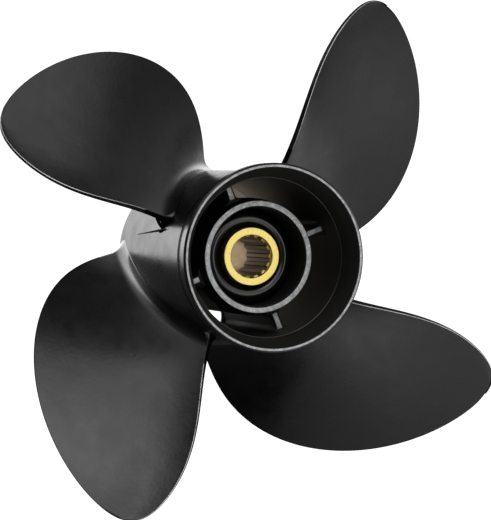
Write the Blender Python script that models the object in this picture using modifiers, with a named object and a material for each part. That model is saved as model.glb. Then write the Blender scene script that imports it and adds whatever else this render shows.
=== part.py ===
"""A four-bladed through-hub boat propeller, modelled in metres.

+Z runs along the shaft axis towards the stern, and the barrel's front edge stands on z = 0.
Seen from the stern (from above) the propeller drives the boat forward when it turns clockwise.
"""

import math

import bmesh
import bpy
from mathutils import Matrix, Vector

GAP = 0.0003

# Size of the whole propeller: 13 1/4 inches across the tips
BLADES = 4
TIP_RADIUS = 0.1683
BARREL_LENGTH = 0.143

# Outer barrel, given by radii at heights above its front edge
BARREL_FRONT_RADIUS = 0.0516
BARREL_WAIST_RADIUS = 0.0492
WAIST_TOP = 0.119
FLARE_HOLLOW = 0.38
LIP_RADIUS = 0.0533
LIP_BOTTOM = 0.1359
LIP_CHAMFER = 0.0013
RIM_OUTER_RADIUS = 0.0524
RIM_INNER_RADIUS = 0.05065
PASSAGE_RADIUS = 0.0452
LEDGE_RADIUS = 0.0456
LEDGE_HEIGHT = 0.1282
FRONT_MOUTH_RADIUS = 0.0472
FRONT_MOUTH_DEPTH = 0.005
EDGE_ROUND = 0.0010

# Inner tube that holds the rubber bush
TUBE_FRONT = 0.008
TUBE_AFT = 0.1145
TUBE_RADIUS = 0.0340
TUBE_AFT_RADIUS = 0.0322
TUBE_TAPER_START = 0.100
TUBE_BORE_RADIUS = 0.0283
TUBE_MOUTH_RADIUS = 0.0292
TUBE_MOUTH_DEPTH = 0.0012

# Ribs between the tube and the barrel
RIB_THICKNESS = 0.0048
RIB_FRONT = 0.012
RIB_AFT = 0.1057
RIB_ANGLE = 45.0
RIB_CORNER = 0.0011

# Rubber bush, crowned at both ends
BUSH_RADIUS = TUBE_BORE_RADIUS - GAP
BUSH_FRONT = 0.020
BUSH_AFT = 0.0970
BUSH_CROWN_RADIUS = 0.0216
BUSH_SHOULDER_DROP = 0.0070
BUSH_BORE_DROP = 0.0025

# Brass sleeve with fifteen internal splines
SLEEVE_RADIUS = 0.01675
SLEEVE_FRONT = 0.012
SLEEVE_AFT = 0.1022
SLEEVE_MOUTH_RADIUS = 0.01256
SPLINES = 15
SPLINE_TIP_RADIUS = 0.0114
SPLINE_ROOT_RADIUS = 0.0125
SPLINE_SPACE_WIDTH = 0.0026
SPLINE_FRONT = 0.056
SPLINE_AFT = 0.0985
FRONT_BORE_RADIUS = 0.0131
THRUST_SEAT_RADIUS = 0.0142
THRUST_SEAT_DEPTH = 0.0020

# Blade form. A share runs from 0 at the barrel to 1 at the tip, and each set of
# numbers is the control values of a Bezier curve over that share.
ROOT_RADIUS = 0.0500
PITCH = 0.4467
FIRST_BLADE_ANGLE = 57.0
SKEW_DEGREES = (0.0, 4.7, 27.3)
RAKE = (0.0465, 0.0689, 0.1044)
HALF_CHORD = (0.0523, 0.0671, 0.1279, 0.0963)
THICKNESS = (0.0115, 0.0085, 0.0060, 0.0042)
LEADING_THICKNESS = (0.0046, 0.0016, 0.0018, 0.0018)
TRAILING_THICKNESS = (0.0034, 0.0030, 0.0028, 0.0024)
CUP_SHARE = 0.10
CUP_LIFT = 0.0012
FACE_FILLET = 0.0085
LEADING_FILLET = 0.0045
TRAILING_FILLET = 0.0015
LOWEST_POINT = 0.0004

BARREL_SIDES = 64
TUBE_SIDES = 48
BLADE_STATIONS = 15
FILLET_STATIONS = 5
CHORD_POINTS = 13


def bezier(controls, share):
    """Value at share, 0 to 1, of the Bezier curve with these control values."""
    order = len(controls) - 1
    return sum(
        math.comb(order, i) * share**i * (1 - share) ** (order - i) * value
        for i, value in enumerate(controls)
    )


def arc(centre, radius, start, end, steps):
    """Points (r, z) on an arc about centre, from angle start to end in degrees."""
    angles = [math.radians(start + (end - start) * i / steps) for i in range(steps + 1)]
    return [(centre[0] + radius * math.cos(a), centre[1] + radius * math.sin(a)) for a in angles]


def make_material(name, colour, metallic, roughness):
    material = bpy.data.materials.new(name)
    material.use_nodes = True
    shader = material.node_tree.nodes["Principled BSDF"]
    shader.inputs["Base Color"].default_value = (*colour, 1.0)
    shader.inputs["Metallic"].default_value = metallic
    shader.inputs["Roughness"].default_value = roughness
    return material


def add_object(name, data, collection, material=None):
    thing = bpy.data.objects.new(name, data)
    collection.objects.link(thing)
    if material:
        data.materials.append(material)
    return thing


def smooth(thing, degrees=30.0):
    thing.data.shade_smooth()
    thing.data.set_sharp_from_angle(angle=math.radians(degrees))


def turned(name, profile, sides, collection, material=None):
    """A ring turned about Z from a closed profile that runs down its outer side first."""
    mesh = bpy.data.meshes.new(name)
    points = [(r, 0.0, z) for r, z in profile]
    edges = [(i, (i + 1) % len(points)) for i in range(len(points))]
    mesh.from_pydata(points, edges, [])
    ring = add_object(name, mesh, collection, material)
    screw = ring.modifiers.new("turn", "SCREW")
    screw.angle = math.tau
    screw.steps = screw.render_steps = sides
    screw.use_merge_vertices = True
    screw.merge_threshold = 0.00001
    screw.use_smooth_shade = True
    return ring


def barrel_outside():
    """Outer side of the barrel, top to bottom: lip, hollow flare, waist, front edge."""
    bend = BARREL_WAIST_RADIUS + FLARE_HOLLOW * (LIP_RADIUS - BARREL_WAIST_RADIUS)
    flare = [
        (BARREL_WAIST_RADIUS, WAIST_TOP),
        (bend, 0.5 * (WAIST_TOP + LIP_BOTTOM)),
        (LIP_RADIUS, LIP_BOTTOM),
    ]
    steps = 4
    hollow = []
    for i in range(steps + 1):
        share = 1 - i / steps
        hollow.append(tuple(bezier([p[axis] for p in flare], share) for axis in (0, 1)))
    return [
        (RIM_OUTER_RADIUS, BARREL_LENGTH),
        (LIP_RADIUS, BARREL_LENGTH - LIP_CHAMFER),
        *hollow,
        (BARREL_WAIST_RADIUS, 0.5 * WAIST_TOP),
        (BARREL_FRONT_RADIUS, EDGE_ROUND),
        (BARREL_FRONT_RADIUS - EDGE_ROUND, 0.0),
    ]


def barrel_inside():
    """Inner side of the barrel, bottom to top: front mouth, passage, ledge, flared rim."""
    return [
        (FRONT_MOUTH_RADIUS, 0.0),
        (PASSAGE_RADIUS, FRONT_MOUTH_DEPTH),
        (PASSAGE_RADIUS, LEDGE_HEIGHT),
        (LEDGE_RADIUS, LEDGE_HEIGHT),
        (0.5 * (LEDGE_RADIUS + RIM_INNER_RADIUS) - EDGE_ROUND, 0.5 * (LEDGE_HEIGHT + BARREL_LENGTH)),
        (RIM_INNER_RADIUS, BARREL_LENGTH),
    ]


def build_barrel(collection, material):
    return turned("hub_barrel", barrel_outside() + barrel_inside(), BARREL_SIDES, collection, material)


def build_tube(collection, material):
    profile = [
        (TUBE_AFT_RADIUS, TUBE_AFT),
        (TUBE_RADIUS, TUBE_TAPER_START),
        (TUBE_RADIUS, TUBE_FRONT),
        (TUBE_BORE_RADIUS, TUBE_FRONT),
        (TUBE_BORE_RADIUS, TUBE_AFT - TUBE_MOUTH_DEPTH),
        (TUBE_MOUTH_RADIUS, TUBE_AFT),
    ]
    return turned("hub_tube", profile, TUBE_SIDES, collection, material)


def build_ribs(collection, material):
    """Four plates with rounded corners at both ends, each a flat outline pushed out along its radius."""
    inner = TUBE_RADIUS + GAP
    outer = PASSAGE_RADIUS * math.cos(math.pi / BARREL_SIDES) - 2 * GAP
    side = RIB_THICKNESS / 2 - RIB_CORNER
    corners = [
        (side, RIB_AFT - RIB_CORNER),
        (-side, RIB_AFT - RIB_CORNER),
        (-side, RIB_FRONT + RIB_CORNER),
        (side, RIB_FRONT + RIB_CORNER),
    ]
    outline_points = []
    for number, corner in enumerate(corners):
        outline_points += arc(corner, RIB_CORNER, 90 * number, 90 * number + 90, 3)
    ribs = []
    for number in range(BLADES):
        curve = bpy.data.curves.new(f"rib_{number + 1}", "CURVE")
        curve.dimensions = "2D"
        curve.fill_mode = "BOTH"
        curve.extrude = (outer - inner) / 2
        outline = curve.splines.new("POLY")
        outline.points.add(len(outline_points) - 1)
        for point, (across, height) in zip(outline.points, outline_points):
            point.co = (across, height, 0.0, 1.0)
        outline.use_cyclic_u = True
        rib = add_object(f"rib_{number + 1}", curve, collection, material)
        angle = math.radians(RIB_ANGLE + 360 * number / BLADES)
        outward = Vector((math.cos(angle), math.sin(angle), 0.0))
        across = Vector((-math.sin(angle), math.cos(angle), 0.0))
        turn = Matrix((across, Vector((0, 0, 1)), outward)).transposed().to_4x4()
        rib.matrix_world = Matrix.Translation(outward * (inner + outer) / 2) @ turn
        ribs.append(rib)
    return ribs


def build_bush(collection, material):
    """Rubber ring whose two ends swell to a round crown and drop to the sleeve and the tube."""
    bore = SLEEVE_RADIUS + GAP
    controls = [
        (bore, -BUSH_BORE_DROP),
        (0.5 * (bore + BUSH_CROWN_RADIUS), 0.9 * BUSH_BORE_DROP),
        (BUSH_CROWN_RADIUS + 0.002, BUSH_BORE_DROP),
        (BUSH_RADIUS, 0.0),
        (BUSH_RADIUS, -BUSH_SHOULDER_DROP),
    ]
    steps = 8
    crown = [
        tuple(bezier([p[axis] for p in controls], i / steps) for axis in (0, 1))
        for i in range(steps + 1)
    ]
    aft = [(r, BUSH_AFT + rise) for r, rise in crown]
    front = [(r, BUSH_FRONT - rise) for r, rise in crown]
    return turned("rubber_bush", aft + front[::-1], TUBE_SIDES, collection, material)


def build_sleeve(collection, cutters, material):
    """Brass ring with a relieved mouth, a splined stretch and a plain front bore."""
    profile = [
        (SLEEVE_RADIUS, SLEEVE_AFT),
        (SLEEVE_RADIUS, SLEEVE_FRONT),
        (THRUST_SEAT_RADIUS, SLEEVE_FRONT),
        (FRONT_BORE_RADIUS, SLEEVE_FRONT + THRUST_SEAT_DEPTH),
        (FRONT_BORE_RADIUS, SPLINE_FRONT),
        (SPLINE_TIP_RADIUS, SPLINE_FRONT),
        (SPLINE_TIP_RADIUS, SPLINE_AFT),
        (SLEEVE_MOUTH_RADIUS, SPLINE_AFT),
        (SLEEVE_MOUTH_RADIUS, SLEEVE_AFT),
    ]
    sleeve = turned("spline_sleeve", profile, 3 * SPLINES, collection, material)
    shape = bmesh.new()
    height = SPLINE_AFT - SPLINE_FRONT + 0.002
    middle = (SPLINE_AFT + SPLINE_FRONT) / 2
    depth = SPLINE_ROOT_RADIUS - SPLINE_TIP_RADIUS + 0.002
    for number in range(SPLINES):
        turn = Matrix.Rotation(math.tau * (number + 0.5) / SPLINES, 4, "Z")
        place = Matrix.Translation((SPLINE_ROOT_RADIUS - depth / 2, 0.0, middle))
        size = Matrix.Diagonal((depth, SPLINE_SPACE_WIDTH, height, 1.0))
        bmesh.ops.create_cube(shape, size=1.0, matrix=turn @ place @ size)
    mesh = bpy.data.meshes.new("spline_spaces")
    shape.to_mesh(mesh)
    shape.free()
    spaces = add_object("spline_spaces", mesh, cutters)
    cut(sleeve, spaces)
    return sleeve


def cut(thing, cutter):
    cutter.hide_render = True
    cutter.display_type = "WIRE"
    boolean = thing.modifiers.new("cut", "BOOLEAN")
    boolean.operation = "DIFFERENCE"
    boolean.solver = "EXACT"
    boolean.object = cutter


def blade_stations():
    """Radii of the blade's sections, each with how far its root fillet swells the faces and edges."""
    stations = []
    for i in range(FILLET_STATIONS):
        turn = math.radians(90 * i / FILLET_STATIONS)
        radius = BARREL_WAIST_RADIUS + FACE_FILLET * (1 - math.cos(turn))
        stations.append((radius, 1 - math.sin(turn)))
    start = stations[0][0] + FACE_FILLET
    for i in range(BLADE_STATIONS):
        share = 1 - (1 - i / (BLADE_STATIONS - 1)) ** 2
        stations.append((start + (TIP_RADIUS - start) * share, 0.0))
    below = (BARREL_WAIST_RADIUS - 0.004, 1.0)
    return [below, *stations]


def blade_section(radius, swell):
    """Closed loop of points round the blade at one radius: up the aft face, back along the front.

    The aft face lies on the helix of the blade's pitch and the thickness is behind it. Near the
    barrel both faces and both edges swell out in the root fillet.
    """
    share = (radius - ROOT_RADIUS) / (TIP_RADIUS - ROOT_RADIUS)
    share = min(max(share, 0.0), 1.0)
    lead = PITCH / math.tau
    slope = math.hypot(radius, lead)
    middle = math.radians(FIRST_BLADE_ANGLE + bezier(SKEW_DEGREES, share))
    half = math.sqrt(max(1 - share, 0.0004)) * bezier(HALF_CHORD, share)
    leading = bezier(LEADING_THICKNESS, share)
    trailing = bezier(TRAILING_THICKNESS, share)
    sides = ([], [])
    for i in range(CHORD_POINTS):
        along = -math.cos(math.pi * i / (CHORD_POINTS - 1))
        edge = leading + (trailing - leading) * (1 + along) / 2
        fullness = 1 - along**2
        belly = max(bezier(THICKNESS, share) - edge, 0.0)
        thickness = edge + belly * fullness * min(1.0, 12 * (1 - share))
        cupped = max(0.0, (along - 1 + 2 * CUP_SHARE) / (2 * CUP_SHARE))
        lift = CUP_LIFT * cupped**2
        fillet = LEADING_FILLET if along < 0 else TRAILING_FILLET
        chord = along * (half + fillet * swell)
        aft = lift + edge / 2 + FACE_FILLET * swell
        front = lift + edge / 2 - thickness - FACE_FILLET * swell
        for side, offset in zip(sides, (aft, front)):
            arc_length = (chord * radius - offset * lead) / slope
            height = bezier(RAKE, share) + (chord * lead + offset * radius) / slope
            height = max(height, LOWEST_POINT)
            angle = middle + arc_length / radius
            side.append((radius * math.cos(angle), radius * math.sin(angle), height))
    return sides[0] + sides[1][::-1]


def blade_mesh():
    """A loft through the blade's sections, closed by a strip of faces at the root and the tip."""
    loops = [blade_section(*station) for station in blade_stations()]
    shape = bmesh.new()
    rows = [[shape.verts.new(point) for point in loop] for loop in loops]
    size = len(rows[0])
    for lower, upper in zip(rows, rows[1:]):
        for i in range(size):
            j = (i + 1) % size
            shape.faces.new((lower[i], lower[j], upper[j], upper[i]))
    for row in (rows[0], rows[-1]):
        for i in range(size // 2 - 1):
            shape.faces.new((row[i], row[i + 1], row[size - 2 - i], row[size - 1 - i]))
    bmesh.ops.recalc_face_normals(shape, faces=shape.faces)
    bmesh.ops.triangulate(shape, faces=shape.faces)
    mesh = bpy.data.meshes.new("blade")
    shape.to_mesh(mesh)
    shape.free()
    return mesh


def build_blades(collection, cutters, material):
    """Four blades, each trimmed to stand on the barrel's outside."""
    outside = [(r + GAP, z) for r, z in barrel_outside()]
    outside[0] = (outside[0][0], BARREL_LENGTH + 0.01)
    outside[-1] = (outside[-1][0] + EDGE_ROUND, -0.02)
    core = [*outside, (0.02, -0.02), (0.02, BARREL_LENGTH + 0.01)]
    trimmer = turned("barrel_envelope", core, BARREL_SIDES, cutters)
    mesh = blade_mesh()
    blades = []
    for number in range(BLADES):
        blade = add_object(f"blade_{number + 1}", mesh.copy(), collection, material)
        blade.rotation_euler.z = math.tau * number / BLADES
        smooth(blade)
        cut(blade, trimmer)
        blades.append(blade)
    return blades


def main():
    for thing in list(bpy.data.objects):
        bpy.data.objects.remove(thing)
    propeller = bpy.data.collections.new("propeller")
    cutters = bpy.data.collections.new("cutters")
    bpy.context.scene.collection.children.link(propeller)
    bpy.context.scene.collection.children.link(cutters)
    enamel = make_material("black enamel on aluminium", (0.012, 0.012, 0.013), 0.0, 0.35)
    rubber = make_material("black rubber", (0.010, 0.010, 0.011), 0.0, 0.6)
    brass = make_material("machined brass", (0.83, 0.62, 0.18), 1.0, 0.3)
    build_barrel(propeller, enamel)
    build_tube(propeller, enamel)
    build_ribs(propeller, enamel)
    build_blades(propeller, cutters, enamel)
    build_bush(propeller, rubber)
    build_sleeve(propeller, cutters, brass)


main()
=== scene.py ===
"""A black through-hub boat propeller, finished and lit for a studio picture.

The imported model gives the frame. This script lays finished surfaces over it, each worked out as a
function of two parameters, and adds the materials, the lights, the floor and the camera.
"""

import math

import bpy
import numpy as np
from mathutils import Matrix, Vector


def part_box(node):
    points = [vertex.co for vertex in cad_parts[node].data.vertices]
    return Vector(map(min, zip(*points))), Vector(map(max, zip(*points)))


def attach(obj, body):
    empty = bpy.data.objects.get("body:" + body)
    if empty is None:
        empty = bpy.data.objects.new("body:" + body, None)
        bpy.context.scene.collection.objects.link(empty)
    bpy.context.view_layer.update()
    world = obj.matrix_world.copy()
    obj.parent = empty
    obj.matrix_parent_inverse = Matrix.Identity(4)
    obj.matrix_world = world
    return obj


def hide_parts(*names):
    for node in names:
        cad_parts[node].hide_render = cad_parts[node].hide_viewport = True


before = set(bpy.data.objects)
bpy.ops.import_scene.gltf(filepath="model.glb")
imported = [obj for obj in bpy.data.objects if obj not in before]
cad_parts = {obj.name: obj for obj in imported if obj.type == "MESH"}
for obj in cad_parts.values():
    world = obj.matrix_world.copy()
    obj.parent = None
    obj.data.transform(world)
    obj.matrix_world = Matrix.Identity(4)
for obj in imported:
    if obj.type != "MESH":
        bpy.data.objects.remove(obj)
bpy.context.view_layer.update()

MM = 0.001
BODY = "root"
BLADES = 4
QUARTER = 360 / BLADES

# Outline points closer than the smallest gap are taken as one. The slack is room for rounding where
# surfaces are told apart by their radius.
SMALLEST_GAP = 1e-7
SLACK = 0.1 * MM

# Places read from the frame
BARREL_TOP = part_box("hub_barrel")[1].z
TUBE_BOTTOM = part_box("hub_tube")[0].z
TUBE_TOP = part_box("hub_tube")[1].z
TUBE_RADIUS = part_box("hub_tube")[1].x
SLEEVE_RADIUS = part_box("spline_sleeve")[1].x
SLEEVE_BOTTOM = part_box("spline_sleeve")[0].z
SLEEVE_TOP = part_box("spline_sleeve")[1].z

# Barrel, in radii and heights
BARREL_FRONT_RADIUS = 51.6 * MM
BARREL_WAIST_RADIUS = 49.2 * MM
WAIST_TOP = 119.0 * MM
FLARE_HOLLOW = 0.38
LIP_RADIUS = 53.3 * MM
LIP_BOTTOM = 135.9 * MM
LIP_CHAMFER = 1.3 * MM
RIM_OUTER_RADIUS = 52.4 * MM
RIM_INNER_RADIUS = 50.65 * MM
RIM_HOLLOW = 1.0 * MM
PASSAGE_RADIUS = 45.2 * MM
LEDGE_RADIUS = 45.6 * MM
LEDGE_HEIGHT = 128.2 * MM
FRONT_MOUTH_RADIUS = 47.2 * MM
FRONT_MOUTH_DEPTH = 5.0 * MM
FRONT_EDGE = 1.0 * MM

# Heights and depths at which one finish of the hub gives way to the next
# Painted shade: a matte band at the foot of the flare, between these two heights
SHADE_BAND_LOW = 116.5 * MM
SHADE_BAND_HIGH = 124.5 * MM
INSIDE_DEPTH = 0.6 * MM
INSIDE_BOTTOM = 1.5 * MM
LEDGE_GLOSS = 0.2 * MM
# The rim's and the tube's aft faces and the ribs' crests take a light grey, partly a painted highlight of
# the light from overhead
RIM_FACE_DEPTH = 0.01 * MM
TUBE_FACE_DEPTH = 0.1 * MM
RIB_CREST_DEPTH = 0.4 * MM
BORE_AFT_DEPTH = 0.35 * MM
TOOTH_END_DEPTH = 0.36 * MM

# Parting line of the die, a low step from each trailing edge's root towards the barrel's front edge.
# It starts at an angle and a height and turns by so many degrees on its way down. The grid has fine
# steps of so many degrees near it, and its dark line, painted shade along the step, grows from the
# first width to the second.
PARTING_START = 95.6
PARTING_HEIGHT = 89.0 * MM
PARTING_TURN = 7.1
PARTING_STEP = 0.7 * MM
PARTING_EDGE = 0.6
PARTING_SPREAD = 9.0
PARTING_HEIGHTS = (34 * MM, 74 * MM, 90 * MM, 96 * MM)
PARTING_LINE_WIDTHS = (0.3, 1.6)
PARTING_NEAR = 1.2
PARTING_NEAR_STEP = 0.15
PARTING_WIDE_STEPS = 72

# Tube and ribs. The ribs reach a little way into both walls.
TUBE_AFT_RADIUS = 32.2 * MM
TUBE_TAPER_START = 100.0 * MM
TUBE_BORE_RADIUS = 28.3 * MM
TUBE_MOUTH_RADIUS = 29.2 * MM
TUBE_MOUTH_DEPTH = 1.2 * MM
RIB_THICKNESS = 4.8 * MM
RIB_FRONT = 12.0 * MM
RIB_AFT = 105.7 * MM
RIB_ANGLE = 45.0
RIB_CORNER = 1.1 * MM
RIB_FILLET = 3.2 * MM
RIB_CREST = 1.3 * MM
RIB_IN_WALL = 1.0 * MM
RIB_STEPS_OUT = 41
RIB_STEPS_UP = 26
RIB_NOSE_STEPS = 7
TUBE_COLUMNS = 256

# Rubber bush and brass sleeve. A tooth's flank is a share of the splines' spacing, and half the
# space between two teeth is given in flanks.
BUSH_FRONT = 20.0 * MM
BUSH_AFT = 97.0 * MM
BUSH_CROWN_RADIUS = 21.6 * MM
BUSH_SHOULDER_DROP = 7.0 * MM
BUSH_BORE_DROP = 2.5 * MM
BUSH_SHOULDER = 2.0 * MM
BUSH_FIT = 0.1 * MM
BUSH_STEPS = 25
BUSH_COLUMNS = 192
SLEEVE_MOUTH_RADIUS = 12.56 * MM
SPLINES = 15
SPLINE_TIP_RADIUS = 11.4 * MM
SPLINE_ROOT_RADIUS = 12.5 * MM
SPLINE_FRONT = 56.0 * MM
SPLINE_AFT = 98.5 * MM
SPLINE_START = 0.3 * MM
SPLINE_END = 0.03 * MM
SPLINE_FLANK = 0.045
SPLINE_HALF_SPACE = 5.2
SPLINE_COLUMNS = 24
FRONT_BORE_RADIUS = 13.1 * MM
THRUST_SEAT_RADIUS = 14.2 * MM
THRUST_SEAT_DEPTH = 2.0 * MM

# Blade form. A share runs from 0 at the barrel to 1 at the tip, and each set of numbers is the
# control values of a Bezier curve over that share. The skin starts a little way inside the barrel.
# Roundness is a share of the edge's half thickness, and no corner is rounder than its limit, a share
# of the half chord. The middle's extra thickness fades out over the last twelfth of the span.
ROOT_RADIUS = 50.0 * MM
TIP_RADIUS = 168.3 * MM
PITCH = 446.7 * MM
FIRST_BLADE_ANGLE = 57.0
SKEW_DEGREES = (0.0, 4.7, 27.3)
RAKE = np.array((46.5, 68.9, 104.4)) * MM
HALF_CHORD = np.array((52.3, 67.1, 127.9, 96.3)) * MM
THICKNESS = np.array((11.5, 8.5, 6.0, 4.2)) * MM
LEADING_THICKNESS = np.array((4.6, 1.6, 1.8, 1.8)) * MM
TRAILING_THICKNESS = np.array((3.4, 3.0, 2.8, 2.4)) * MM
ROOT_IN_BARREL = 3.0 * MM
LEADING_ROUNDNESS = 0.95
EDGE_CORNER = 0.55 * MM
CORNER_LIMIT = 0.4
FULLNESS_FADE = 12
TIP_BLUNTNESS = 0.995
CUP_SHARE = 0.16
CUP_LIFT = 1.2 * MM
FACE_FILLET = 8.5 * MM
LEADING_FILLET = 4.5 * MM
TRAILING_FILLET = 1.5 * MM
FILLET_FADE = 20.0 * MM
BLADE_LOWEST = 0.4 * MM

# Blade grid: its rows from root to tip, and its columns round each corner and along each face. The
# finishes of the edges, a painted highlight along the trailing edge and painted shade round the leading
# edge and the trailing root, start past so many root rows, end before so many last rows and are so
# many columns wide.
FILLET_ROWS = 12
SPAN_ROWS = 72
CORNER_STEPS = 8
FLAT_STEPS = 42
ROOT_ROWS = 16
LAST_ROWS = 5
THREAD_COLUMNS = 3
ROOT_END_COLUMNS = 3

# Enamel pooled at the blades' roots: full out to one radius and gone by the next, full below one
# height and gone by the next
POOL_FULL = 52.5 * MM
POOL_END = 57.0 * MM
POOL_LOW = 30.0 * MM
POOL_HIGH = 62.0 * MM

# How shiny the dry enamel is where it drifts in, and the little or no shine left where a matte finish
# paints shade: at the foot of the flare and along the parting steps, and darkest round the blades' edges
OVERSPRAY_SHINE = 0.28
HUB_SHADE_SHINE = 0.04
BLADE_SHADE_SHINE = 0.0

# Softboxes round the studio: bearing round the shaft, elevation above the floor and half width in
# degrees, and brightness. Bearing 110 is the top of the picture and 20 its right side. The light is
# full within one share of the half width and gone beyond another.
SOFTBOXES = (
    (130, 35, 22, 1.7),
    (140, 58, 20, 1.8),
    (145, 8, 20, 1.1),
    (56, 32, 20, 1.1),
    (85, 56, 22, 1.2),
    (320, 56, 22, 1.2),
    (272, 32, 20, 0.6),
    (248, 44, 24, 0.35),
    (344, 32, 20, 0.6),
    (350, 8, 18, 0.55),
    (265, 8, 24, 0.7),
    (310, 8, 22, 0.7),
    (45, 14, 28, 0.15),
    (20, 71, 9, 1.9),
)
SOFTBOX_FULL = 0.5
SOFTBOX_END = 1.25
ROOM_GLOW = 0.1

# Lamps under the floor sheet: bearing, distance from the shaft, reach of the full light and of the
# last of it, and brightness
FLOOR_LAMPS = (
    (190, 80 * MM, 27 * MM, 76 * MM, 1.9),
    (110, 100 * MM, 20 * MM, 60 * MM, 0.8),
    (104, 64 * MM, 8 * MM, 26 * MM, 0.9),
    (62, 42 * MM, 12 * MM, 34 * MM, 10.0),
    (5, 43 * MM, 8 * MM, 26 * MM, 12.0),
    (272, 38 * MM, 4 * MM, 14 * MM, 14.0),
    (176, 190 * MM, 50 * MM, 120 * MM, 2.5),
    (78, 210 * MM, 40 * MM, 110 * MM, 0.35),
    (0, 0 * MM, 7 * MM, 14 * MM, 9.0),
    (20, 270 * MM, 60 * MM, 200 * MM, 0.8),
    (335, 950 * MM, 200 * MM, 700 * MM, 2.0),
    (155, 950 * MM, 200 * MM, 700 * MM, 0.9),
    (65, 950 * MM, 200 * MM, 700 * MM, 0.4),
)

# Lit floor, with a disc of painted shade under the barrel, for the shade inside the barrel where it stands
# on the floor. The painted shade is lighter near one place, a faint painted glow.
FLOOR_REACH = 4.0
FLOOR_DROP = 0.2 * MM
FLOOR_GLOW = 1.15
WALL_GLOW = 1.0
PAINTED_SHADE_EDGE = 1.0 * MM
PAINTED_SHADE_RADIUS = 48.0 * MM
PAINTED_SHADE_COLOUR = "#5c574f"
PAINTED_GLOW_PLACE = (-14.0 * MM, 38.0 * MM, 0.0)
PAINTED_GLOW_REACH = (25.0 * MM, 55.0 * MM)
PAINTED_SHADE_PLACE = (0.0, 0.0, 0.0)
PAINTED_SHADE_DARKEST = "#050505"
HOLE_PLACE = (17.7 * MM, -35.2 * MM, 0.0)
HOLE_RADIUS = 12.0 * MM

# Camera, astern of the propeller and tilted off the shaft. Angles are in degrees, the frame's height,
# which is its longer side, and the focal length in pixels, and the sensor in millimetres.
FRAME_HEIGHT = 520
CAMERA_DISTANCE = 1236.9 * MM
CAMERA_TILT = 19.364
CAMERA_BEARING = 200.06
CAMERA_ROLL = 3.538
CAMERA_AIM_HEIGHT = 93.0 * MM
CAMERA_AIM_RIGHT = -0.025
CAMERA_AIM_UP = -0.101
CAMERA_REACH = 50.0
FOCAL_PIXELS = 2210.85
SENSOR = 36.0


def linear(hex_colour):
    """sRGB hex, such as #e0c060, as linear red, green, blue and alpha."""
    channels = np.array([int(hex_colour[i : i + 2], 16) for i in (1, 3, 5)]) / 255
    low = channels / 12.92
    high = ((channels + 0.055) / 1.055) ** 2.4
    return (*np.where(channels <= 0.04045, low, high).tolist(), 1.0)


def set_inputs(tree, node, values):
    """Sets a node's inputs. A tuple of a node and a socket name is a link, anything else a value."""
    for name, value in values.items():
        if isinstance(value, tuple) and isinstance(value[0], bpy.types.Node):
            tree.links.new(value[0].outputs[value[1]], node.inputs[name])
        else:
            node.inputs[name].default_value = value


def add(tree, kind, inputs=None, **settings):
    """Adds one shader node, with its settings and its inputs."""
    node = tree.nodes.new(kind)
    for name, value in settings.items():
        setattr(node, name, value)
    set_inputs(tree, node, inputs or {})
    return node


def ramp(tree, source, stops):
    """A colour ramp fed by source, with stops given as position and hex colour."""
    node = add(tree, "ShaderNodeValToRGB", {"Fac": source})
    elements = node.color_ramp.elements
    while len(elements) < len(stops):
        elements.new(0.5)
    for element, (position, colour) in zip(elements, stops):
        element.position = position
        element.color = linear(colour)
    return (node, "Color")


def new_material(name):
    """A material, its node tree, its shader, and the piece's own coordinates as a link."""
    material = bpy.data.materials.new(name)
    material.use_nodes = True
    tree = material.node_tree
    place = (add(tree, "ShaderNodeTexCoord"), "Object")
    return material, tree, tree.nodes["Principled BSDF"], place


def from_shaft(tree, place):
    """Distance of a place from the line of the shaft."""
    level = add(tree, "ShaderNodeVectorMath", {0: place, 1: (1, 1, 0)}, operation="MULTIPLY")
    return (add(tree, "ShaderNodeVectorMath", {0: (level, "Vector")}, operation="LENGTH"), "Value")


def enamel_material(name, pooled=False):
    """Black enamel sprayed and baked over die-cast aluminium: satin, with an orange peel.

    To the eye it is nearly black where it faces the camera and turns to soft grey where it
    mirrors a lamp or the white floor at a shallow angle. The casting under it was smoothed by hand
    and rolls a little. Where the enamel has pooled in a root fillet it is thicker and glossier, and
    catches the floor as a bright streak. The peel is drawn coarser than it is, to show at all.
    """
    material, tree, shader, place = new_material(name)
    spray = add(tree, "ShaderNodeTexNoise", {"Vector": place, "Scale": 1 / (2.2 * MM), "Detail": 1.0})
    flow = add(tree, "ShaderNodeTexNoise", {"Vector": place, "Scale": 1 / (38 * MM), "Detail": 2.0})
    hand = add(tree, "ShaderNodeTexNoise", {"Vector": place, "Scale": 1 / (12 * MM), "Detail": 1.0})
    gloss = add(
        tree,
        "ShaderNodeMapRange",
        {"Value": (hand, "Fac"), "From Min": 0.3, "From Max": 0.7, "To Min": 0.25, "To Max": 0.33},
    )
    waves = add(tree, "ShaderNodeBump", {"Height": (hand, "Fac"), "Strength": 0.6, "Distance": 0.2 * MM})
    peel = add(
        tree,
        "ShaderNodeBump",
        {"Height": (spray, "Fac"), "Strength": 0.8, "Distance": 0.06 * MM, "Normal": (waves, "Normal")},
    )
    tone = ramp(tree, (flow, "Fac"), [(0.35, "#060606"), (0.65, "#0b0b0c")])
    set_inputs(
        tree,
        shader,
        {
            "Base Color": tone,
            "Roughness": (gloss, "Result"),
            "IOR": 1.5,
            "Normal": (peel, "Normal"),
        },
    )
    if pooled:
        height = (add(tree, "ShaderNodeSeparateXYZ", {"Vector": place}), "Z")
        fades = ((from_shaft(tree, place), POOL_FULL, POOL_END), (height, POOL_LOW, POOL_HIGH))
        coat = 1.0
        for measure, full, end in fades:
            fade = {"Value": measure, "From Min": full, "From Max": end, "To Min": 1.0, "To Max": 0.0}
            fade = add(tree, "ShaderNodeMapRange", fade, interpolation_type="SMOOTHSTEP")
            both = {0: (fade, "Result"), 1: coat}
            coat = (add(tree, "ShaderNodeMath", both, operation="MULTIPLY"), "Value")
        set_inputs(tree, shader, {"Coat Weight": coat, "Coat Roughness": 0.2, "Coat IOR": 1.8})
    return material


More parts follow.
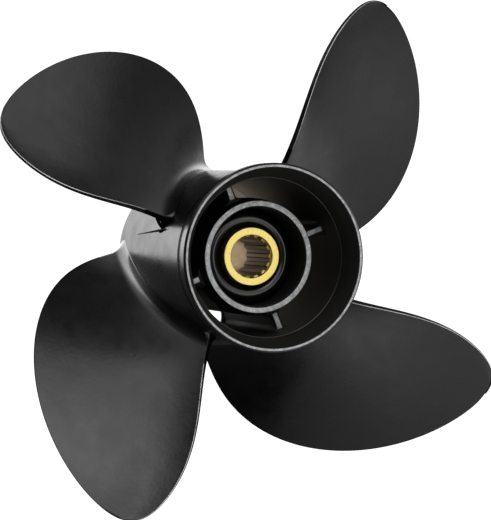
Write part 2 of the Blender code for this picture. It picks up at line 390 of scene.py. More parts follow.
def overspray_material(name, shine):
    """The same black enamel where the spray only drifts in: thin, dry and matte on cast metal.

    It gives the exhaust passages their deep black, with hardly any shine even at a shallow angle.
    With less shine it is painted shade: the band at the foot of the flare, the steps at the parting
    lines and the edges of the blades are darkened by taking the shine away.
    """
    material, tree, shader, place = new_material(name)
    grain = add(tree, "ShaderNodeTexNoise", {"Vector": place, "Scale": 1 / (0.9 * MM), "Detail": 4.0})
    cast = add(tree, "ShaderNodeBump", {"Height": (grain, "Fac"), "Strength": 0.5, "Distance": 0.06 * MM})
    set_inputs(
        tree,
        shader,
        {
            "Base Color": ramp(tree, (grain, "Fac"), [(0.35, "#060606"), (0.65, "#0b0b0b")]),
            "Roughness": 0.62,
            "Specular IOR Level": shine,
            "Normal": (cast, "Normal"),
        },
    )
    return material


def turned_edge_material():
    """Aluminium edges turned after casting, under one thin coat: a light grey that is partly a painted
    highlight, where these upward faces would mirror the light from overhead.

    The grey is mottled, with small bright nicks that are painted glints and chipped coat both.
    """
    material, tree, shader, place = new_material("turned_aluminium_painted_highlight")
    grey_mottle = add(tree, "ShaderNodeTexNoise", {"Vector": place, "Scale": 1 / (2.4 * MM), "Detail": 5.0})
    glint_spots = add(tree, "ShaderNodeTexNoise", {"Vector": place, "Scale": 1 / (1.1 * MM), "Detail": 3.0})
    tone = ramp(tree, (grey_mottle, "Fac"), [(0.32, "#838586"), (0.5, "#9fa1a2"), (0.68, "#b6b8b8")])
    glint_share = add(
        tree,
        "ShaderNodeMapRange",
        {"Value": (glint_spots, "Fac"), "From Min": 0.63, "From Max": 0.69, "To Min": 0.0, "To Max": 1.0},
    )
    colour = add(
        tree,
        "ShaderNodeMix",
        {"Factor": (glint_share, "Result"), "A": tone, "B": linear("#f0efec")},
        data_type="RGBA",
    )
    relief = add(tree, "ShaderNodeBump", {"Height": (grey_mottle, "Fac"), "Strength": 0.3, "Distance": 0.05 * MM})
    set_inputs(
        tree,
        shader,
        {
            "Base Color": (colour, "Result"),
            "Metallic": 0.35,
            "Roughness": 0.4,
            "Normal": (relief, "Normal"),
        },
    )
    return material


def edge_highlight_material():
    """A painted highlight on the corner of the trailing edge: a bright thread of bare-looking aluminium,
    dull in places.
    """
    material, tree, shader, place = new_material("aluminium_painted_edge_highlight")
    highlight_variation = add(tree, "ShaderNodeTexNoise", {"Vector": place, "Scale": 1 / (28 * MM), "Detail": 2.0})
    glint_share = {"Value": (highlight_variation, "Fac"), "From Min": 0.3, "From Max": 0.7, "To Min": 0.3, "To Max": 0.9}
    set_inputs(
        tree,
        shader,
        {
            "Base Color": ramp(tree, (highlight_variation, "Fac"), [(0.3, "#8c8c8b"), (0.6, "#dededc")]),
            "Metallic": (add(tree, "ShaderNodeMapRange", glint_share), "Result"),
            "Roughness": 0.4,
        },
    )
    return material


def rubber_material():
    """Moulded nitrile rubber: black, and shiny enough that its crown mirrors the lamps as grey rings."""
    material, tree, shader, place = new_material("moulded_black_rubber")
    skin = add(tree, "ShaderNodeTexNoise", {"Vector": place, "Scale": 1 / (0.8 * MM), "Detail": 4.0})
    grain = add(tree, "ShaderNodeBump", {"Height": (skin, "Fac"), "Strength": 0.4, "Distance": 0.04 * MM})
    set_inputs(
        tree,
        shader,
        {
            "Base Color": ramp(tree, (skin, "Fac"), [(0.3, "#050506"), (0.7, "#0b0b0c")]),
            "Roughness": 0.15,
            "IOR": 1.5,
            "Normal": (grain, "Normal"),
        },
    )
    return material


def brass_material(name, smoothest, roughest):
    """Free-cutting brass, turned: a bright yellow metal, a little mottled, with fine tool marks."""
    material, tree, shader, place = new_material(name)
    blotch = add(tree, "ShaderNodeTexNoise", {"Vector": place, "Scale": 1 / (1.6 * MM), "Detail": 5.0})
    tool = add(tree, "ShaderNodeTexNoise", {"Vector": place, "Scale": 1 / (0.5 * MM), "Detail": 3.0})
    marks = add(tree, "ShaderNodeBump", {"Height": (tool, "Fac"), "Strength": 0.5, "Distance": 0.05 * MM})
    gloss = add(
        tree,
        "ShaderNodeMapRange",
        {
            "Value": (blotch, "Fac"),
            "From Min": 0.3,
            "From Max": 0.7,
            "To Min": smoothest,
            "To Max": roughest,
        },
    )
    tone = ramp(tree, (blotch, "Fac"), [(0.3, "#dcc05c"), (0.5, "#efda80"), (0.7, "#f6e495")])
    set_inputs(
        tree,
        shader,
        {
            "Base Color": tone,
            "Metallic": 1.0,
            "Roughness": (gloss, "Result"),
            "Normal": (marks, "Normal"),
        },
    )
    return material


def greased_brass_material(name, teeth):
    """The same brass where it was bored or broached and left in grease: brown, marked round the bore.

    Between the teeth of the splines the colour darkens to nearly black towards the roots.
    """
    material, tree, shader, place = new_material(name)
    grease = add(tree, "ShaderNodeTexNoise", {"Vector": place, "Scale": 1 / (3.0 * MM), "Detail": 4.0})
    marks = add(
        tree,
        "ShaderNodeTexWave",
        {"Vector": place, "Scale": 1 / (9.0 * MM), "Distortion": 1.5},
        bands_direction="Z",
    )
    relief = add(tree, "ShaderNodeBump", {"Height": (marks, "Fac"), "Strength": 0.3, "Distance": 0.03 * MM})
    tone = ramp(tree, (grease, "Fac"), [(0.3, "#8a7659"), (0.7, "#a8936f")])
    if teeth:
        near = SPLINE_TIP_RADIUS + 0.2 * MM
        depth = {"Value": from_shaft(tree, place), "From Min": near, "From Max": SPLINE_ROOT_RADIUS}
        depth = add(tree, "ShaderNodeMapRange", depth)
        tone = ramp(tree, (depth, "Result"), [(0.0, "#5f4e3e"), (0.55, "#1a130c")])
    values = {"Base Color": tone, "Metallic": 1.0, "Roughness": 0.28, "Normal": (relief, "Normal")}
    set_inputs(tree, shader, values)
    return material


def floor_material():
    """Backlit white acrylic sheet, as under a product on a light table.

    A disc of painted shade under the barrel keeps the exhaust passages dark, all but a hole that shows
    white through one of them, as in the photograph. The camera sees the painted shade at its darkest
    away from its faint painted glow. Reflected light doesn't, because the emission's colour tints the
    lamps under the disc too.
    """
    material, tree, shader, place = new_material("backlit_white_acrylic_painted_shade")

    def beyond(centre, near, far):
        """A soft-edged disc: 0 nearer to its centre than near, 1 farther off than far."""
        away = add(tree, "ShaderNodeVectorMath", {0: place, 1: centre}, operation="DISTANCE")
        values = {"Value": (away, "Value"), "From Min": near, "From Max": far}
        return (add(tree, "ShaderNodeMapRange", values, interpolation_type="SMOOTHSTEP"), "Result")

    # Painted shade: a dark disc under the barrel, with a hole in it
    beyond_shade_disc = beyond(PAINTED_SHADE_PLACE, PAINTED_SHADE_RADIUS, PAINTED_SHADE_RADIUS + PAINTED_SHADE_EDGE)
    shut = beyond(HOLE_PLACE, HOLE_RADIUS, HOLE_RADIUS + PAINTED_SHADE_EDGE)
    lit = add(tree, "ShaderNodeMath", {0: beyond_shade_disc, 1: shut}, operation="SUBTRACT")
    lit = add(tree, "ShaderNodeMath", {0: (lit, "Value"), 1: 1.0}, operation="ADD", use_clamp=True)
    # For the camera the disc is painted shade: brown-grey near one place as a painted glow, and nearly
    # black away from it
    painted_dark_share = {0: beyond(PAINTED_GLOW_PLACE, *PAINTED_GLOW_REACH), 1: seen_or_cast(tree, 1.0, 0.0)}
    painted_dark_share = (add(tree, "ShaderNodeMath", painted_dark_share, operation="MULTIPLY"), "Value")
    shade = {"Factor": painted_dark_share, "A": linear(PAINTED_SHADE_COLOUR), "B": linear(PAINTED_SHADE_DARKEST)}
    shade = (add(tree, "ShaderNodeMix", shade, data_type="RGBA"), "Result")
    glow = {"Factor": (lit, "Value"), "A": shade, "B": linear("#ffffff")}
    glow = (add(tree, "ShaderNodeMix", glow, data_type="RGBA"), "Result")
    cast = 0.0
    for bearing, distance, near, far, brightness in FLOOR_LAMPS:
        dark = beyond(direction(bearing, 0) * distance, near, far)
        lamp = add(tree, "ShaderNodeMath", {0: 1.0, 1: dark}, operation="SUBTRACT")
        lamp = {0: (lamp, "Value"), 1: brightness, 2: cast}
        cast = (add(tree, "ShaderNodeMath", lamp, operation="MULTIPLY_ADD"), "Value")
    set_inputs(
        tree,
        shader,
        {
            "Base Color": linear("#1c1c1c"),
            "Roughness": 0.6,
            "Emission Color": glow,
            "Emission Strength": seen_or_cast(tree, FLOOR_GLOW, cast),
        },
    )
    return material


def seen_or_cast(tree, seen, cast):
    """The brightness that the camera sees outright, and another that only falls on the object."""
    path = add(tree, "ShaderNodeLightPath")
    return (add(tree, "ShaderNodeMix", {"Factor": (path, "Is Camera Ray"), "A": cast, "B": seen}), "Result")


def studio_world():
    """White walls, with softboxes on them that light the object but aren't seen themselves."""
    world = bpy.data.worlds.new("studio")
    world.use_nodes = True
    tree = world.node_tree
    place = add(tree, "ShaderNodeTexCoord")
    cast = ROOM_GLOW
    for bearing, elevation, half_width, brightness in SOFTBOXES:
        toward = add(
            tree,
            "ShaderNodeVectorMath",
            {0: (place, "Generated"), 1: direction(bearing, elevation)},
            operation="DOT_PRODUCT",
        )
        edge = {
            "Value": (toward, "Value"),
            "From Min": math.cos(math.radians(SOFTBOX_END * half_width)),
            "From Max": math.cos(math.radians(SOFTBOX_FULL * half_width)),
            "To Max": brightness,
        }
        lamp = add(tree, "ShaderNodeMapRange", edge, interpolation_type="SMOOTHSTEP")
        cast = (add(tree, "ShaderNodeMath", {0: (lamp, "Result"), 1: cast}, operation="ADD"), "Value")
    glow = {"Color": linear("#ffffff"), "Strength": seen_or_cast(tree, WALL_GLOW, cast)}
    set_inputs(tree, tree.nodes["Background"], glow)
    bpy.context.scene.world = world


def bezier(controls, share):
    """Value at share, 0 to 1, of the Bezier curve with these control values."""
    share = np.asarray(share, float)
    order = len(controls) - 1
    return sum(
        math.comb(order, i) * share**i * (1 - share) ** (order - i) * value
        for i, value in enumerate(controls)
    )


def skin(name, points, material, rows_close=False, columns_close=True, ladder_ends=False):
    """A mesh over a grid of points, with one four-sided face between each four neighbours.

    Rows or columns that close join their last to their first. Ladder ends close the first and the
    last row with rungs from its first half to its second half.
    """
    rows, columns = points.shape[:2]
    index = np.arange(rows * columns).reshape(rows, columns)
    if rows_close:
        index = np.vstack([index, index[:1]])
    if columns_close:
        index = np.hstack([index, index[:, :1]])
    faces = np.stack([index[:-1, :-1], index[:-1, 1:], index[1:, 1:], index[1:, :-1]], -1).reshape(-1, 4)
    if ladder_ends:
        near = np.arange(columns // 2 - 1)
        far = columns - 1 - near
        first = np.stack([near, near + 1, far - 1, far], -1)[:, ::-1]
        last = first[:, ::-1] + (rows - 1) * columns
        faces = np.vstack([faces, first, last])
    mesh = bpy.data.meshes.new(name)
    mesh.from_pydata(points.reshape(-1, 3).tolist(), [], faces.tolist())
    mesh.validate()
    mesh.shade_smooth()
    mesh.materials.append(material)
    piece = bpy.data.objects.new(name, mesh)
    bpy.context.scene.collection.objects.link(piece)
    return piece


def faces_where(piece, test):
    """For each face, whether its middle, as x, y and z, passes the test."""
    middle = np.empty(len(piece.data.polygons) * 3)
    piece.data.polygons.foreach_get("center", middle)
    return test(*middle.reshape(-1, 3).T)


def faces_between(piece, shape, rows, columns):
    """For each face, whether it lies between some rows and columns of the grid of that shape."""
    inside = np.zeros(len(piece.data.polygons), bool)
    grid = inside[: (shape[0] - 1) * shape[1]].reshape(shape[0] - 1, shape[1])
    grid[rows, columns] = True
    return inside


def second_finish(piece, material, chosen):
    """Gives another finish to the chosen faces."""
    index = np.empty(len(piece.data.polygons), int)
    piece.data.polygons.foreach_get("material_index", index)
    index[chosen] = len(piece.data.materials)
    piece.data.materials.append(material)
    piece.data.polygons.foreach_set("material_index", index)


def dress(piece, slot, *nodes):
    """Puts a finished piece on the frame in place of the plain solids it stands for."""
    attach(piece, BODY)
    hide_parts(*nodes)
    return piece


def even_columns(count):
    """Angles of so many grid lines, evenly spaced round the shaft."""
    return np.linspace(0, math.tau, count, endpoint=False)


def rounded_profile(corners, steps=6, spacing=2.5 * MM):
    """A closed outline of radius and height through corners, each given with its rounding.

    A corner is replaced by a quadratic curve that leaves the two straight sides at the rounding's
    distance from the corner. Straight stretches are then divided to the spacing.
    """
    corners = np.array(corners, float)
    place, cut = corners[:, :2], corners[:, 2:3]
    before = np.roll(place, 1, 0) - place
    after = np.roll(place, -1, 0) - place
    reach_before = np.linalg.norm(before, axis=1, keepdims=True)
    reach_after = np.linalg.norm(after, axis=1, keepdims=True)
    start = place + before / reach_before * np.minimum(cut, 0.49 * reach_before)
    end = place + after / reach_after * np.minimum(cut, 0.49 * reach_after)
    share = np.linspace(0, 1, steps + 1)[None, :, None]
    start, middle, end = (places[:, None] for places in (start, place, end))
    curve = (1 - share) ** 2 * start + 2 * share * (1 - share) * middle + share**2 * end
    points = curve.reshape(-1, 2)
    following = np.roll(points, -1, 0)
    gaps = np.linalg.norm(following - points, axis=1)
    counts = np.maximum(1, np.ceil(gaps / spacing)).astype(int)
    pieces = [
        point + (onward - point) * np.arange(count)[:, None] / count
        for point, onward, gap, count in zip(points, following, gaps, counts)
        if gap > SMALLEST_GAP
    ]
    return np.vstack(pieces)


def turned(name, profile, material, columns, shift=None, lean=None):
    """A ring turned about the shaft: every profile point carried round a circle.

    The profile runs down its outer side first. Columns are the angles of the grid's lines, lean(height)
    is added to them, and shift(column, height, radius) moves the surface outward.
    """
    radius = profile[:, :1] + 0 * columns[None, :]
    height = profile[:, 1:] + 0 * radius
    angle = columns[None, :] + (lean(height) if lean else 0)
    if shift:
        radius = radius + shift(columns[None, :] + 0 * radius, height, radius)
    points = np.stack([radius * np.cos(angle), radius * np.sin(angle), height], -1)
    return skin(name, points[::-1], material, rows_close=True)


def barrel_flare(steps=24):
    """Hollow flare from the waist up to the lip, as corners with no rounding, top to bottom."""
    share = np.linspace(1, 0, steps)
    middle = 0.5 * (WAIST_TOP + LIP_BOTTOM)
    hollow = BARREL_WAIST_RADIUS + FLARE_HOLLOW * (LIP_RADIUS - BARREL_WAIST_RADIUS)
    radius = bezier((BARREL_WAIST_RADIUS, hollow, LIP_RADIUS), share)
    height = bezier((WAIST_TOP, middle, LIP_BOTTOM), share)
    return np.stack([radius, height, np.zeros_like(share)], -1).tolist()


def barrel_corners():
    """The barrel's outline from the rim down its outside and up its inside, each corner rounded."""
    flare = barrel_flare()
    flare[0][2] = 0.4 * MM
    return [
        (RIM_OUTER_RADIUS, BARREL_TOP, 0.35 * MM),
        (LIP_RADIUS, BARREL_TOP - LIP_CHAMFER, 0.3 * MM),
        *flare,
        (BARREL_FRONT_RADIUS, FRONT_EDGE, 0.8 * MM),
        (BARREL_FRONT_RADIUS - FRONT_EDGE, 0.0, 0.4 * MM),
        (FRONT_MOUTH_RADIUS, 0.0, 0.6 * MM),
        (PASSAGE_RADIUS, FRONT_MOUTH_DEPTH, 1.5 * MM),
        (PASSAGE_RADIUS, LEDGE_HEIGHT, 0.25 * MM),
        (LEDGE_RADIUS, LEDGE_HEIGHT, 0.3 * MM),
        (0.5 * (LEDGE_RADIUS + RIM_INNER_RADIUS) - RIM_HOLLOW, 0.5 * (LEDGE_HEIGHT + BARREL_TOP), 3.0 * MM),
        (RIM_INNER_RADIUS, BARREL_TOP, 0.5 * MM),
    ]


def waist_radius(height):
    """Outside radius of the barrel below its flare."""
    return np.interp(height, (FRONT_EDGE, WAIST_TOP), (BARREL_FRONT_RADIUS, BARREL_WAIST_RADIUS))


def parting_columns():
    """Angles of the barrel's grid lines, close together at each parting line of the casting die."""
    wide = np.linspace(PARTING_NEAR, QUARTER - PARTING_NEAR, PARTING_WIDE_STEPS, endpoint=False)
    near = np.arange(-PARTING_NEAR, PARTING_NEAR, PARTING_NEAR_STEP)
    offsets = np.concatenate([near, wide])
    starts = PARTING_START + QUARTER * np.arange(BLADES)
    return np.radians((starts[:, None] + offsets).ravel())


def parting_lean(height):
    """Turn of the grid below the trailing edge's root, so that one of its lines is the parting line."""
    low = np.minimum(height, WAIST_TOP)
    return np.radians(PARTING_TURN) * (PARTING_HEIGHT - low) / PARTING_HEIGHT


def past_parting(column):
    """Degrees from the nearest parting line to a grid column, which is given in radians."""
    return (np.degrees(column) - PARTING_START + QUARTER / 2) % QUARTER - QUARTER / 2


def parting_step(column, height, radius):
    """Rise of the skin ahead of each parting line: full at the line, and gone a little way off."""
    past = past_parting(column)
    edge = np.clip(0.5 - past / PARTING_EDGE, 0, 1)
    fade = np.exp(np.minimum(past, 0) / PARTING_SPREAD)
    along = np.interp(height, np.array(PARTING_HEIGHTS), (0, 1, 1, 0))
    outside = radius > BARREL_WAIST_RADIUS - SLACK
    return PARTING_STEP * edge * fade * along * outside


def build_barrel(outside, inside, hub_shade_finish, edge):
    """The barrel, dry inside, with a matte band of painted shade at the foot of its flare and along each
    parting step, and a turned rim whose light grey is partly a painted highlight.
    """
    profile = rounded_profile(barrel_corners())
    barrel = turned("cast_barrel", profile, outside, parting_columns(), parting_step, parting_lean)

    def facing_in(x, y, z):
        heights = (FRONT_MOUTH_DEPTH, LEDGE_HEIGHT, BARREL_TOP)
        inner = np.interp(z, heights, (PASSAGE_RADIUS, LEDGE_RADIUS, RIM_INNER_RADIUS))
        ledge = np.abs(z - LEDGE_HEIGHT) < LEDGE_GLOSS
        return (np.hypot(x, y) < inner + INSIDE_DEPTH) & (z > INSIDE_BOTTOM) & ~ledge

    def painted_shade_lines(x, y, z):
        """Painted shade: a band at the foot of the flare, and the narrow step at each parting line."""
        low, high = PARTING_HEIGHTS[0], PARTING_HEIGHTS[2]
        past = past_parting(np.arctan2(y, x) - parting_lean(z))
        width = np.interp(z, (low, high), PARTING_LINE_WIDTHS) * PARTING_EDGE
        step = (np.abs(past) < width) & (z > low) & (z < high)
        band = (z > SHADE_BAND_LOW) & (z < SHADE_BAND_HIGH)
        return ~facing_in(x, y, z) & (step | band)

    second_finish(barrel, inside, faces_where(barrel, facing_in))
    # A matte finish with the shine taken away paints shade on the band and the steps
    second_finish(barrel, hub_shade_finish, faces_where(barrel, painted_shade_lines))
    # The rim's face takes the light grey, partly a painted highlight
    second_finish(barrel, edge, faces_where(barrel, lambda x, y, z: z > BARREL_TOP - RIM_FACE_DEPTH))
    return dress(barrel, "enamel", "hub_barrel")


def build_tube(inside, edge):
    """The inner tube, which tapers a little towards its turned aft face."""
    corners = [
        (TUBE_AFT_RADIUS, TUBE_TOP, 0.5 * MM),
        (TUBE_RADIUS, TUBE_TAPER_START, 4.0 * MM),
        (TUBE_RADIUS, TUBE_BOTTOM, 0.8 * MM),
        (TUBE_BORE_RADIUS, TUBE_BOTTOM, 0.8 * MM),
        (TUBE_BORE_RADIUS, TUBE_TOP - TUBE_MOUTH_DEPTH, 0.4 * MM),
        (TUBE_MOUTH_RADIUS, TUBE_TOP, 0.4 * MM),
    ]
    tube = turned("cast_tube", rounded_profile(corners), inside, even_columns(TUBE_COLUMNS))
    # The aft face takes the light grey, partly a painted highlight, with painted glints
    second_finish(tube, edge, faces_where(tube, lambda x, y, z: z > TUBE_TOP - TUBE_FACE_DEPTH))
    return dress(tube, "enamel", "hub_tube")


def build_rib(number, inside, edge):
    """One rib: its side, at a height and a distance out, stands half a thickness off the middle plane.

    The side runs out in a round fillet where it meets the tube and the barrel, and its nose at
    each end is rounded off.
    """
    out = np.linspace(TUBE_RADIUS - RIB_IN_WALL, PASSAGE_RADIUS + RIB_IN_WALL, RIB_STEPS_OUT)
    from_wall = np.minimum(out - TUBE_RADIUS, PASSAGE_RADIUS - out)
    depth = np.clip(1 - from_wall / RIB_FILLET, 0, 1)
    fillet = RIB_FILLET * (1 - np.sqrt(1 - depth**2))
    turn = np.linspace(0, math.pi / 2, RIB_NOSE_STEPS)
    nose = RIB_CORNER * (1 - np.sin(turn))
    flat = RIB_CORNER * (1 - np.cos(turn))
    between = np.linspace(RIB_FRONT, RIB_AFT, RIB_STEPS_UP + 4)[2:-2]
    height = np.concatenate([RIB_FRONT + flat, between, RIB_AFT - flat[::-1]])
    narrow = np.concatenate([nose, np.zeros(RIB_STEPS_UP), nose[::-1]])
    half = RIB_THICKNESS / 2 + fillet[:, None] - narrow[None, :]
    half = np.hstack([half, np.minimum(half[:, -1:], (RIB_CREST, 0.5 * RIB_CREST))])
    height = np.concatenate([height, (RIB_AFT, RIB_AFT)])
    side = np.stack([half, out[:, None] + 0 * half, height[None, :] + 0 * half], -1)
    other = side * np.array((-1, 1, 1))
    loops = np.concatenate([side, other[:, ::-1]], 1)
    angle = math.radians(RIB_ANGLE + QUARTER * number)
    outward = np.array((math.cos(angle), math.sin(angle), 0))
    across = np.array((-math.sin(angle), math.cos(angle), 0))
    points = loops[..., :1] * across + loops[..., 1:2] * outward + loops[..., 2:] * np.array((0, 0, 1))
    rib = skin(f"cast_rib_{number + 1}", points, inside, ladder_ends=True)

    # Painted highlight: the middle of the rib's aft face takes the light grey finish
    def crest_highlight(x, y, z):
        aside = np.abs(x * across[0] + y * across[1])
        reach = x * outward[0] + y * outward[1]
        clear = (reach > TUBE_RADIUS + RIB_CREST) & (reach < PASSAGE_RADIUS - 0.5 * RIB_CREST)
        return (z > RIB_AFT - RIB_CREST_DEPTH) & (aside < 1.1 * RIB_CREST) & clear

    second_finish(rib, edge, faces_where(rib, crest_highlight))
    return dress(rib, "enamel", f"rib_{number + 1}")


def build_bush(material):
    """The rubber ring: each end is a Bezier curve up from the sleeve, over a crown and down to the tube."""
    bore = SLEEVE_RADIUS + BUSH_FIT
    wall = TUBE_BORE_RADIUS - BUSH_FIT
    steps = np.linspace(0, 1, BUSH_STEPS)
    rising = 0.5 * (bore + BUSH_CROWN_RADIUS)
    radius = bezier((bore, rising, BUSH_CROWN_RADIUS + BUSH_SHOULDER, wall, wall), steps)
    rise = bezier((-BUSH_BORE_DROP, 0.9 * BUSH_BORE_DROP, BUSH_BORE_DROP, 0, -BUSH_SHOULDER_DROP), steps)
    aft = np.stack([radius, BUSH_AFT + rise, 0 * steps], -1)
    front = np.stack([radius, BUSH_FRONT - rise, 0 * steps], -1)
    profile = rounded_profile(np.vstack([aft, front[::-1]]))
    bush = turned("moulded_bush", profile, material, even_columns(BUSH_COLUMNS))
    return dress(bush, "rubber", "rubber_bush")


def spline_wave(angle):
    """Bore radius round the splines: 1 on a tooth's tip, 0 in the space between two teeth."""
    turn = (angle * SPLINES / math.tau + 0.5) % 1.0
    return np.clip((0.5 - np.abs(turn - 0.5)) / SPLINE_FLANK - SPLINE_HALF_SPACE, 0, 1)


def build_sleeve(material, bored, broached, ends):
    """The brass sleeve: a turned ring whose bore is pushed in by the teeth between two heights."""
    corners = [
        (SLEEVE_RADIUS, SLEEVE_TOP, 0.35 * MM),
        (SLEEVE_RADIUS, SLEEVE_BOTTOM, 0.35 * MM),
        (THRUST_SEAT_RADIUS, SLEEVE_BOTTOM, 0.3 * MM),
        (FRONT_BORE_RADIUS, SLEEVE_BOTTOM + THRUST_SEAT_DEPTH, 0.3 * MM),
        (FRONT_BORE_RADIUS, SPLINE_FRONT, 0.2 * MM),
        (SPLINE_ROOT_RADIUS, SPLINE_FRONT, 0.1 * MM),
        (SPLINE_ROOT_RADIUS, SPLINE_AFT - 2 * SPLINE_END, 0.0),
        (SPLINE_ROOT_RADIUS, SPLINE_AFT, 0.0),
        (SLEEVE_MOUTH_RADIUS, SPLINE_AFT + SLACK, 0.02 * MM),
        (SLEEVE_MOUTH_RADIUS, SLEEVE_TOP, 0.4 * MM),
    ]
    depth = SPLINE_ROOT_RADIUS - SPLINE_TIP_RADIUS

    def teeth(angle, height, radius):
        """Inward push of the bore, which is the only surface this near to the shaft."""
        splined = (height > SPLINE_FRONT + SPLINE_START) & (height < SPLINE_AFT - SPLINE_END)
        bore = radius < SPLINE_ROOT_RADIUS + 0.02 * MM
        return np.where(splined & bore, -depth * spline_wave(angle), 0.0)

    profile = rounded_profile(corners, spacing=1.2 * MM)
    sleeve = turned("brass_sleeve", profile, material, even_columns(SPLINE_COLUMNS * SPLINES), teeth)

    def in_bore(x, y, z):
        return (np.hypot(x, y) < FRONT_BORE_RADIUS + SLACK) & (z < SPLINE_AFT - BORE_AFT_DEPTH)

    def in_splines(x, y, z):
        return in_bore(x, y, z) & (z > SPLINE_FRONT + 0.2 * MM)

    def tooth_ends(x, y, z):
        return (np.hypot(x, y) < SPLINE_ROOT_RADIUS + SLACK) & (np.abs(z - SPLINE_AFT) < TOOTH_END_DEPTH)

    second_finish(sleeve, bored, faces_where(sleeve, in_bore))
    second_finish(sleeve, broached, faces_where(sleeve, in_splines))
    second_finish(sleeve, ends, faces_where(sleeve, tooth_ends))
    return dress(sleeve, "brass", "spline_sleeve")


def blade_rows():
    """Radius, fillet swell and tip rounding of each row, from inside the barrel wall to the tip."""
    turn = np.linspace(0, math.pi / 2, FILLET_ROWS + 1)[:-1]
    fillet_radius = ROOT_RADIUS + FACE_FILLET * (1 - np.cos(turn))
    start = ROOT_RADIUS + FACE_FILLET
    share = 1 - (1 - np.linspace(0, 1, SPAN_ROWS)) ** 2
    span = start + (TIP_RADIUS - start) * share
    radius = np.concatenate([[ROOT_RADIUS - ROOT_IN_BARREL], fillet_radius, span])
    swell = np.concatenate([[1.0], 1 - np.sin(turn), 0 * span])
    tip = TIP_RADIUS - TRAILING_THICKNESS[-1] / 2
    beyond = np.clip((radius - tip) / (TIP_RADIUS - tip), 0, TIP_BLUNTNESS)
    return radius[:, None], swell[:, None], np.sqrt(1 - beyond**2)[:, None]


def blade_points(number):
    """The skin of one blade as rows at rising radius, each a closed loop from leading to trailing edge.

    The aft face is a helix of the blade's pitch, turned by the skew and shifted by the rake. The
    front face lies off it by the thickness, which falls to the edge thickness at both edges.
    Near the barrel both faces swell out in a round fillet.
    """
    radius, swell, tip_round = blade_rows()
    share = np.clip((radius - ROOT_RADIUS) / (TIP_RADIUS - ROOT_RADIUS), 0, 1)
    lead = PITCH / math.tau
    slope = np.hypot(radius, lead)
    leading = bezier(LEADING_THICKNESS, share) / 2 * tip_round
    trailing = bezier(TRAILING_THICKNESS, share) / 2 * tip_round
    half = np.sqrt(np.maximum(1 - share, 1e-5)) * bezier(HALF_CHORD, share)
    first = -half - LEADING_FILLET * swell
    last = half + TRAILING_FILLET * swell
    round_lead = np.minimum(LEADING_ROUNDNESS * leading + FACE_FILLET * swell, CORNER_LIMIT * half)
    round_trail = np.minimum(EDGE_CORNER * tip_round + FACE_FILLET * swell, CORNER_LIMIT * half)
    turn = np.linspace(0, math.pi / 2, CORNER_STEPS)[None, :]
    middle = (1 - np.cos(np.linspace(0, math.pi, FLAT_STEPS + 2)))[None, 1:-1] / 2
    along = np.concatenate(
        [
            first + round_lead * (1 - np.cos(turn)),
            (first + round_lead) + (last - first - round_lead - round_trail) * middle,
            last - round_trail * (1 - np.cos(turn[:, ::-1])),
        ],
        1,
    )
    fall = 1 - np.sin(turn)
    rounded = np.concatenate([round_lead * fall, 0 * middle * radius, round_trail * fall[:, ::-1]], 1)
    place = np.clip(along / half, -1, 1)
    edge = leading + (trailing - leading) * (1 + place) / 2
    fullness = (1 - place**2) * np.minimum(1, FULLNESS_FADE * (1 - share))
    thickness = 2 * edge + np.maximum(bezier(THICKNESS, share) - 2 * edge, 0) * fullness
    lift = CUP_LIFT * np.clip((place - 1 + 2 * CUP_SHARE) / (2 * CUP_SHARE), 0, None) ** 2
    flare = FACE_FILLET * swell - rounded
    aft = lift + edge + flare
    front = lift + edge - thickness - flare
    loop_along = np.concatenate([along, along[:, ::-1]], 1)
    loop_offset = np.concatenate([aft, front[:, ::-1]], 1)
    centre = np.radians(FIRST_BLADE_ANGLE + QUARTER * number + bezier(SKEW_DEGREES, share))
    angle = centre + (loop_along * radius - loop_offset * lead) / slope / radius
    height = bezier(RAKE, share) + (loop_along * lead + loop_offset * radius) / slope
    height = np.maximum(height, BLADE_LOWEST)
    settle = np.clip(1 - (radius - ROOT_RADIUS) / FILLET_FADE, 0, 1) ** 2
    distance = radius + (waist_radius(height) - ROOT_RADIUS) * settle
    return np.stack([distance * np.cos(angle), distance * np.sin(angle), height], -1)


def build_blade(number, material, dry, thread_highlight):
    """One blade, with painted shade round its leading edge and round the root of its trailing edge.

    A painted highlight runs as a bright thread along the corner between its aft face and its trailing edge.
    """
    points = blade_points(number)
    blade = skin(f"cast_blade_{number + 1}", points, material, ladder_ends=True)
    thread = CORNER_STEPS + FLAT_STEPS + 1
    end = CORNER_STEPS + FLAT_STEPS + CORNER_STEPS
    front = end + CORNER_STEPS
    span = slice(ROOT_ROWS, -LAST_ROWS)
    # The bright thread is a painted highlight, and the dry strips are a matte finish that paints shade
    strips = (
        (thread_highlight, span, slice(thread, thread + THREAD_COLUMNS)),
        (dry, span, slice(0, CORNER_STEPS)),
        (dry, slice(0, ROOT_ROWS), slice(end - ROOT_END_COLUMNS, front)),
        (dry, slice(0, CORNER_STEPS), slice(front, front + 2 * CORNER_STEPS)),
    )
    for finish, rows, columns in strips:
        second_finish(blade, finish, faces_between(blade, points.shape, rows, columns))
    return dress(blade, "enamel", f"blade_{number + 1}")


def direction(bearing, elevation):
    """Unit vector towards a bearing round the shaft and an elevation above the floor, in degrees."""
    turn, rise = math.radians(bearing), math.radians(elevation)
    return Vector((math.cos(turn) * math.cos(rise), math.sin(turn) * math.cos(rise), math.sin(rise)))


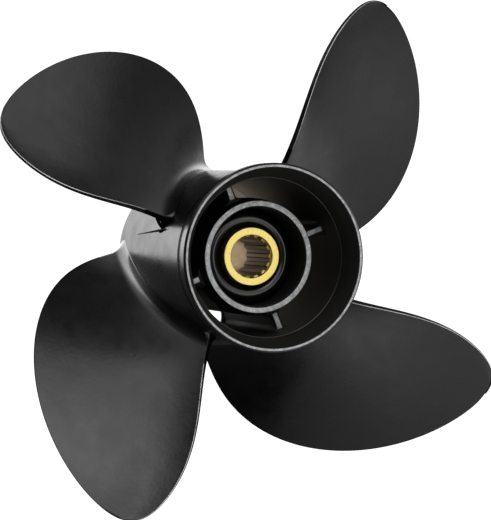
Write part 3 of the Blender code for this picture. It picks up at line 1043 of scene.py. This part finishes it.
def add_camera():
    """Camera on the photograph's line of sight, turned so that the picture's own tilt is kept."""
    place = Vector((0, 0, BARREL_TOP)) + direction(CAMERA_BEARING, 90 - CAMERA_TILT) * CAMERA_DISTANCE
    forward = (Vector((0, 0, CAMERA_AIM_HEIGHT)) - place).normalized()
    picture_top = direction(CAMERA_BEARING - 90, 0)
    right = forward.cross(picture_top).normalized()
    up = right.cross(forward)
    forward = forward + right * math.radians(CAMERA_AIM_RIGHT) + up * math.radians(CAMERA_AIM_UP)
    forward.normalize()
    right = forward.cross(up).normalized()
    up = right.cross(forward)
    roll = math.radians(CAMERA_ROLL)
    right, up = right * math.cos(roll) + up * math.sin(roll), up * math.cos(roll) - right * math.sin(roll)
    data = bpy.data.cameras.new("camera")
    data.sensor_width = SENSOR
    data.lens = FOCAL_PIXELS / FRAME_HEIGHT * SENSOR
    data.clip_end = CAMERA_REACH
    camera = bpy.data.objects.new("camera", data)
    turn = Matrix((right, up, -forward)).transposed().to_4x4()
    camera.matrix_world = Matrix.Translation(place) @ turn
    bpy.context.scene.collection.objects.link(camera)
    bpy.context.scene.camera = camera


def add_studio():
    """The white floor, a hair below the object, and the walls round it."""
    sides = (-FLOOR_REACH, FLOOR_REACH)
    corners = np.array([[(x, y, -FLOOR_DROP) for x in sides] for y in sides])
    floor = skin("floor", corners, floor_material(), columns_close=False)
    studio_world()
    bpy.context.scene.view_settings.view_transform = "Standard"


def main():
    enamel = enamel_material("baked_black_enamel")
    pooled = enamel_material("baked_black_enamel_pooled_at_roots", pooled=True)
    overspray = overspray_material("dry_overspray_enamel", OVERSPRAY_SHINE)
    hub_shade_finish = overspray_material("overspray_enamel_painted_shade", HUB_SHADE_SHINE)
    blade_shade_finish = overspray_material("overspray_enamel_darkest_painted_shade", BLADE_SHADE_SHINE)
    thread_highlight = edge_highlight_material()
    edge = turned_edge_material()
    build_barrel(enamel, overspray, hub_shade_finish, edge)
    build_tube(overspray, edge)
    for number in range(BLADES):
        build_rib(number, overspray, edge)
        build_blade(number, pooled, blade_shade_finish, thread_highlight)
    build_bush(rubber_material())
    bored = greased_brass_material("greased_bored_brass", teeth=False)
    broached = greased_brass_material("greased_broached_brass", teeth=True)
    ends = brass_material("broached_brass_tooth_ends", 0.5, 0.6)
    build_sleeve(brass_material("turned_brass", 0.26, 0.42), bored, broached, ends)
    add_camera()
    add_studio()


main()
